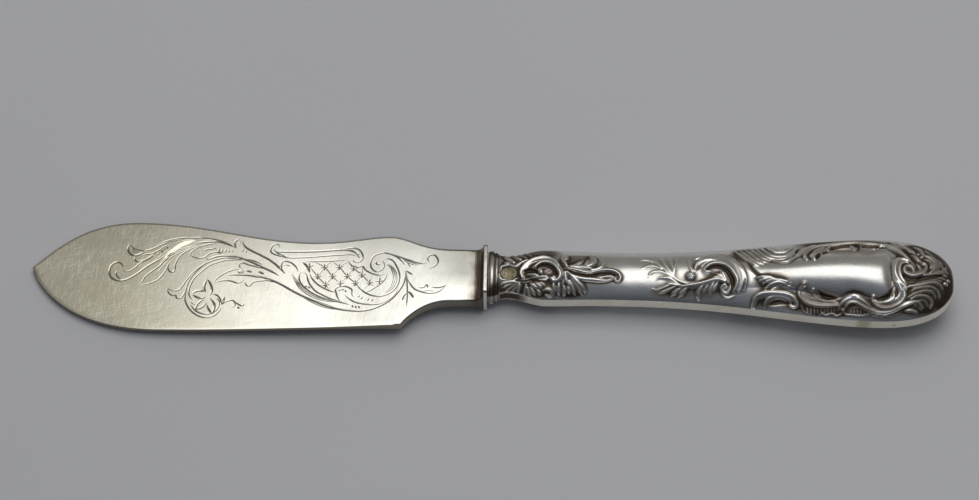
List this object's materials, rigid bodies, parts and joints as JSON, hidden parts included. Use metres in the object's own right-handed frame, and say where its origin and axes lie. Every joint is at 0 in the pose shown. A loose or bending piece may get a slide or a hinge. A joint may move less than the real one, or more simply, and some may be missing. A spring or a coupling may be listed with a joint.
{
  "type": "butter knife",
  "caption": "Antique silver butter knife with a broad engraved blade, a bolster plate and a filled, stamped handle with scrolls and leaves.",
  "frame": {"origin": "middle of the knife's box, at its underside", "axes": "+X along the knife from the tip of the blade towards the butt of the handle, +Y from the cutting edge towards the back of the blade, +Z out of the engraved face"},
  "size_m": [0.2001, 0.0272, 0.0128],
  "materials": {
    "blade_silver": "worn satin silver",
    "handle_silver": "polished silver, dark in the recesses",
    "tang_iron": "forged iron",
    "pitch_resin": "cast resin"
  },
  "bodies": {
    "root": {"blade": "blade_silver", "bolster_plate": "blade_silver", "tang": "tang_iron", "handle_front_shell": "handle_silver", "handle_back_shell": "handle_silver", "resin_filling": "pitch_resin"}
  },
  "joints": []
}
